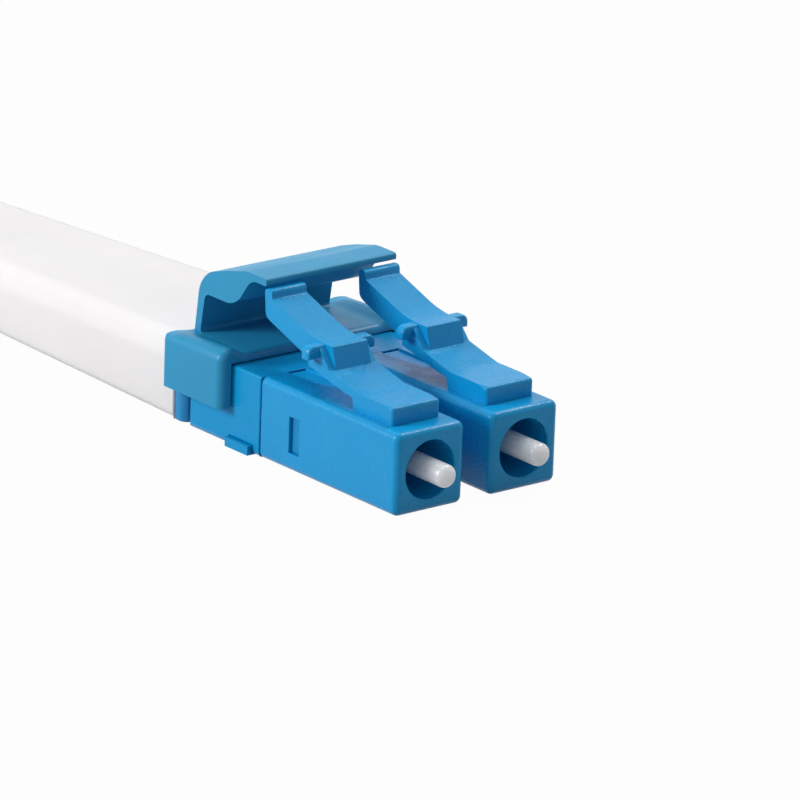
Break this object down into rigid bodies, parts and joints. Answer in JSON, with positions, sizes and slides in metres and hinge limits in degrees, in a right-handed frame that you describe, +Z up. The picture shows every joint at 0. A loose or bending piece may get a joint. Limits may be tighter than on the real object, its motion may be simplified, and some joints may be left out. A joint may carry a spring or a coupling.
{
  "type": "duplex lc fibre connector",
  "caption": "Duplex fibre connector with two square plugs and white ferrules, press latches worked by one clip-on lever, and a flat cable boot.",
  "frame": {"origin": "middle of the underside, halfway along the whole connector", "axes": "+Z up, +Y from the mating end to the boot, +X across the two plugs"},
  "size_m": [0.0124, 0.0584, 0.0095],
  "materials": {
    "plug_blue": "satin moulded plastic, mid blue",
    "housing_blue": "satin moulded plastic, mid blue",
    "inner_blue": "satin moulded plastic, mid blue",
    "collar_blue": "semi-gloss moulded plastic, mid blue",
    "clip_blue": "glossy moulded plastic, blue with a hint of green",
    "zirconia": "polished white ceramic",
    "steel": "turned",
    "spring_steel": "drawn wire",
    "sleeve_metal": "plain tube",
    "tube_white": "extruded plastic tube",
    "boot_white": "soft satin moulded elastomer, pale"
  },
  "bodies": {
    "housing": {"left_plug_shell": "plug_blue", "left_spring_stop": "inner_blue", "left_ferrule_spring": "spring_steel", "right_plug_shell": "plug_blue", "right_spring_stop": "inner_blue", "right_ferrule_spring": "spring_steel", "housing_body": "housing_blue", "housing_bottom": "housing_blue", "rear_collar": "collar_blue", "crimp_body": "steel", "crimp_sleeve": "sleeve_metal", "boot": "boot_white"},
    "left_ferrule_unit": {"left_ferrule": "zirconia", "left_ferrule_flange": "steel", "left_guide_tube": "tube_white"},
    "left_latch": {"left_latch_arm": "plug_blue"},
    "right_ferrule_unit": {"right_ferrule": "zirconia", "right_ferrule_flange": "steel", "right_guide_tube": "tube_white"},
    "right_latch": {"right_latch_arm": "plug_blue"},
    "clip": {"trigger_clip": "clip_blue"},
    "lever": {"trigger_lever": "clip_blue"}
  },
  "joints": [
    {"name": "clip_lift", "type": "slide", "parent": "housing", "child": "clip", "axis": [0, 0, 1], "range_m": [0, 0.01]},
    {"name": "lever_press", "type": "hinge", "parent": "clip", "child": "lever", "pos_m": [0, -0.00953, 0.006], "axis": [1, 0, 0], "range_deg": [0, 14], "stiffness_Nm_per_rad": 0.12},
    {"name": "left_latch_press", "type": "hinge", "parent": "housing", "child": "left_latch", "pos_m": [-0.00313, -0.02252, 0.00543], "axis": [-1, 0, 0], "range_deg": [0, 10.5]},
    {"name": "right_latch_press", "type": "hinge", "parent": "housing", "child": "right_latch", "pos_m": [0.00313, -0.02252, 0.00543], "axis": [-1, 0, 0], "range_deg": [0, 10.5]},
    {"name": "left_ferrule_slide", "type": "slide", "parent": "housing", "child": "left_ferrule_unit", "axis": [0, 1, 0], "range_m": [0, 0.0018], "stiffness_N_per_m": 2000, "springref_m": -0.0025, "deforming": ["left_ferrule_spring"]},
    {"name": "right_ferrule_slide", "type": "slide", "parent": "housing", "child": "right_ferrule_unit", "axis": [0, 1, 0], "range_m": [0, 0.0018], "stiffness_N_per_m": 2000, "springref_m": -0.0025, "deforming": ["right_ferrule_spring"]}
  ],
  "couplings": [
    {"joint": "left_latch_press", "follows": "lever_press", "ratio": 0.73},
    {"joint": "right_latch_press", "follows": "lever_press", "ratio": 0.73}
  ]
}
